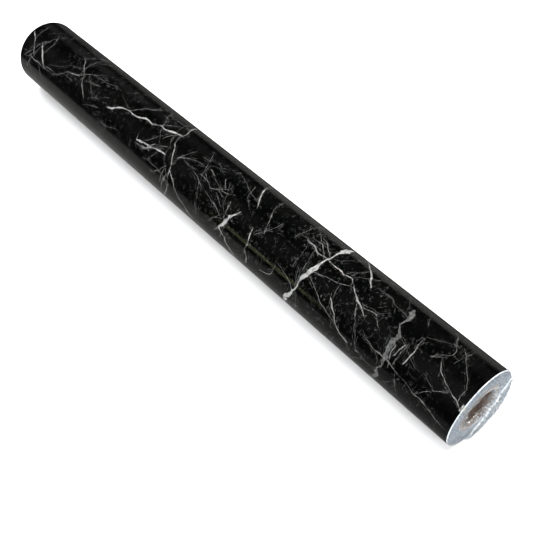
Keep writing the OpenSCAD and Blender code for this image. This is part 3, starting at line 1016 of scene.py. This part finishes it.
# ------------------------------------------------------------------ gathered ends
def gathered_end(side, seed, nodes_skirt, nodes_tuck, prefix, body):
    """Film drawn in over the end of the roll in folded pleats, and pushed into the core."""
    rnd = random.Random(seed)
    cols = 1260
    th = np.arange(cols) * 360 / cols
    # path of the film: round the rim, over the face, into the mouth
    r_path, x_path = [], []
    for t in np.linspace(0, 1, 7)[:-1]:
        r_path.append(70.66)
        x_path.append(HALF - 3.2 + 2.5 * t)
    for t in np.linspace(0, math.pi / 2, 7):
        r_path.append(69.86 + 0.80 * math.cos(t))
        x_path.append(HALF - 0.7 + 1.0 * math.sin(t))
    for t in np.linspace(0, 1, 64)[1:]:
        r_path.append(69.86 + (36.4 - 69.86) * t)
        x_path.append(HALF + 0.30 + 1.1 * math.sin(math.pi * min(1, t * 1.02)) ** 0.6)
    for t in np.linspace(0, math.pi / 2, 8)[1:]:
        r_path.append(36.4 - 2.6 * math.sin(t))
        x_path.append(HALF + 0.30 - 4.0 * (1 - math.cos(t)))
    r_path, x_path = np.array(r_path), np.array(x_path)
    face = np.clip((70.0 - r_path) / (70.0 - 36.0), 0, 1)
    on_face = step(r_path, 70.64, 69.2)
    # pleats: irregular in width and depth, leaning one way
    n_main = 23
    warp = sum(rnd.uniform(0.25, 0.9) / k * np.sin(np.radians(th) * k + rnd.uniform(0, 6.28)) for k in range(1, 6))
    u = np.radians(th)[None, :] * n_main + 2.4 * warp[None, :] + 1.3 * face[:, None] * waves(seed + 1, face[:, None] * 30, th[None, :], 8, (0.01, 0.06), (2, 7))
    depth = np.clip(0.55 + 0.55 * waves(seed + 2, 0.0, th, 9, (0, 0.001), (2, 11)), 0.08, 1.15)[None, :]
    a = np.radians(0) + face[:, None] ** 1.25 * 2.5 / n_main * depth
    n2 = 61
    u2 = np.radians(th)[None, :] * n2 + 3.0 * waves(seed + 3, face[:, None] * 30, th[None, :], 8, (0.01, 0.05), (3, 12))
    a2 = face[:, None] ** 0.8 * 1.1 / n2 * np.clip(waves(seed + 4, face[:, None] * 20, th[None, :], 10, (0.01, 0.08), (3, 15)) + 0.25, 0, 1.2)
    phi = th[None, :] + np.degrees(a * np.sin(u) + a2 * np.sin(u2)) + 10.0 * rnd.choice((1, -1)) * face[:, None] ** 1.4
    high = (0.28 + 1.15 * face[:, None] ** 0.8) * depth * (1 - np.sin(u)) / 2 * on_face[:, None]
    high = high + 0.30 * on_face[:, None] * (a2 * n2) * (1 - np.sin(u2)) / 2
    crush = np.abs(waves(seed + 5, r_path[:, None], phi, 34, (0.03, 0.16), (8, 60)))
    high = high + 0.55 * on_face[:, None] * (0.25 + face[:, None]) * crush
    # milky haze of the gathered film, with painted highlights added into the same value: a white band along the fold
    # round the rim, and on the near end a white line along the standing fold's crease
    haze_and_highlights = 0.03 + 0.09 * crush + 0.62 * step(r_path[:, None], 38, 47) * 0 + 0.20 * (1 - step(r_path[:, None], 38.5, 45.5)) * (0.2 + 0.9 * crush)
    # painted highlight: the white band along the film's fold round the rim
    haze_and_highlights = haze_and_highlights * on_face[:, None] + 0.95 * np.exp(-((np.arange(len(r_path))[:, None] - 9.0) / 2.6) ** 2)
    fold_line = np.clip(np.sin(u), -1, 1) ** 2
    haze_and_highlights = haze_and_highlights + 0.10 * fold_line * face[:, None]
    bag = np.zeros_like(phi)
    if side == 1:
        # one wide fold stands off the face, with its crease on the line below (angle: radius where the crease passes)
        pa = np.array([-110, -93, -70, -46, -20, 3.7, 12, 20.7, 30])
        pr = np.array([84, 49.4, 42.5, 39.5, 40.0, 42.3, 55.0, 69.1, 84])
        crease_r = np.interp(((phi + 180) % 360) - 180, pa, pr, left=90, right=90)
        d = r_path[:, None] - crease_r
        inside = step(d, -0.4, 1.6)
        bag = inside * (3.6 + 1.2 * waves(seed + 8, r_path[:, None], phi, 10, (0.01, 0.05), (2, 9))) * step(r_path[:, None], 70.6, 66.5)
        bag = bag + 2.2 * np.exp(-(d / 1.3) ** 2) * step(r_path[:, None], 70.6, 68.5)
        rough = np.abs(waves(seed + 31, r_path[:, None], phi, 44, (0.08, 0.40), (16, 120)))
        bag = bag + 1.5 * inside * rough * step(r_path[:, None], 70.6, 67.5)
        # milky spots on the standing fold, and a painted highlight: a white line along its crease
        haze_and_highlights = haze_and_highlights + inside * 0.17 * rough ** 1.5 + 0.50 * np.exp(-(d / 0.75) ** 2)
    r2 = np.broadcast_to(r_path[:, None], phi.shape) - 0.35 * bag * 0
    x2 = x_path[:, None] + high + np.maximum(bag, 0)
    # the barrel part hugs the rim
    hug = 0.05 * (1 + waves(seed + 9, x_path[:, None], th[None, :], 14, (0.01, 0.1), (10, 70))) * (1 - on_face[:, None])
    V = polar(side * x2, r2 + hug, phi)
    F = quads(V.shape[0], cols, closed_v=True, flip=(side == -1))
    # rows run from the barrel inwards
    o = add(prefix + "_gathered", V, F[:, ::-1], body, nodes_skirt, [FILM, FILM_END],
            np.repeat(np.arange(V.shape[0] - 1) >= 6, cols))
    at = o.data.attributes.new("haze_and_highlights", "FLOAT", "POINT")
    at.data.foreach_set("value", np.clip(haze_and_highlights, 0, 0.9).astype(np.float32).ravel())
    # the tucked part: crumpled flats
    rows, c2 = 34, 150
    xs = np.linspace(0, 1, rows)
    P = np.arange(c2) * 360 / c2
    jit = np.random.default_rng(seed + 20)
    dr = jit.uniform(0, 1, (rows, c2))
    coarse = jit.uniform(0, 1, (8, 26))
    ci = np.arange(rows) / rows * 7
    cj = np.arange(c2) / c2 * 26
    i0, j0 = ci.astype(int), cj.astype(int)
    fi, fj = (ci - i0)[:, None], (cj - j0)[None, :]
    j1 = (j0 + 1) % 26
    big = ((coarse[i0][:, j0] * (1 - fj) + coarse[i0][:, j1] * fj) * (1 - fi)
           + (coarse[np.minimum(i0 + 1, 7)][:, j0] * (1 - fj) + coarse[np.minimum(i0 + 1, 7)][:, j1] * fj) * fi)
    open_in = step(xs, 0.0, 0.10)[:, None]
    inward = 3.2 * (1 - step(xs, 0.0, 0.25))[:, None] + open_in * (0.25 + 9.5 * big ** 1.5 * (0.45 + 0.75 * np.sin(math.pi * np.clip(xs, 0, 1))[:, None]) + 2.2 * dr)
    rr = 37.72 - np.clip(inward, 0, 13.5)
    xx = HALF - 1.5 - 43.0 * xs[:, None] + jit.uniform(-0.45, 0.45, (rows, c2)) * open_in + 2.5 * (big - 0.5) * open_in
    pp = P[None, :] + jit.uniform(-0.7, 0.7, (rows, c2)) * open_in + 9 * (big - 0.5) * open_in
    V = polar(side * xx, rr, pp)
    F = quads(rows, c2, closed_v=True, flip=(side == -1))
    # split each flat into two facets
    tri = np.concatenate([F[:, [0, 1, 2]], F[:, [0, 2, 3]]])
    o = add(prefix + "_tucked", V, tri, body, nodes_tuck, [FILM_END], smooth=False)
    # faint haze on the tucked film, a little more at the mouth, with scattered whitish flats that are painted glints on
    # the crumpled film
    at = o.data.attributes.new("haze_and_highlights", "FLOAT", "POINT")
    at.data.foreach_set("value", np.clip(0.02 + 0.26 * dr ** 3 + 0.06 * (1 - step(xs, 0, 0.2))[:, None], 0, 1).astype(np.float32).ravel())


gathered_end(1, 200, ["near_end_skirt"], ["near_end_tuck"], "near_end", "near_wrap_end")
gathered_end(-1, 300, ["far_end_skirt"], ["far_end_tuck"], "far_end", "far_wrap_end")


def rim_tape():
    """A short tape over the near rim, half on the barrel and half on the gathered film."""
    path = [(HALF - 4.2 + 3.6 * t, 70.84) for t in np.linspace(0, 1, 22)]
    path += [(HALF - 0.6 + 1.9 * math.sin(a), 69.34 + 1.50 * math.cos(a)) for a in np.linspace(0.1, math.pi / 2, 10)]
    path += [(HALF + 1.3 + 1.15 * t ** 0.7, 69.34 - 10.4 * t) for t in np.linspace(0, 1, 24)[1:]]
    path = np.array(path)
    p = np.linspace(131.0, 140.5, 34)
    wav = 0.10 * (1 + waves(401, np.arange(len(path))[:, None] * 0.9, p[None, :], 14, (0.02, 0.12), (20, 60)))
    t = np.linspace(0, 1, len(path))[:, None]
    x = path[:, 0][:, None] + wav * step(t, 0.35, 0.6)
    r = path[:, 1][:, None] + wav * 0.35 * (1 - step(t, 0.35, 0.6))
    pp = p[None, :] + 1.6 * (t - 0.5)
    outer, inner = polar(x, r, pp), polar(x - 0.05 * step(t, 0.3, 0.6), r - 0.05 * (1 - step(t, 0.3, 0.6)), pp)
    V, F = shell(outer, inner)
    add("rim_tape_strip", V, F, "near_wrap_end", ["near_rim_tape"], [TAPE])


rim_tape()
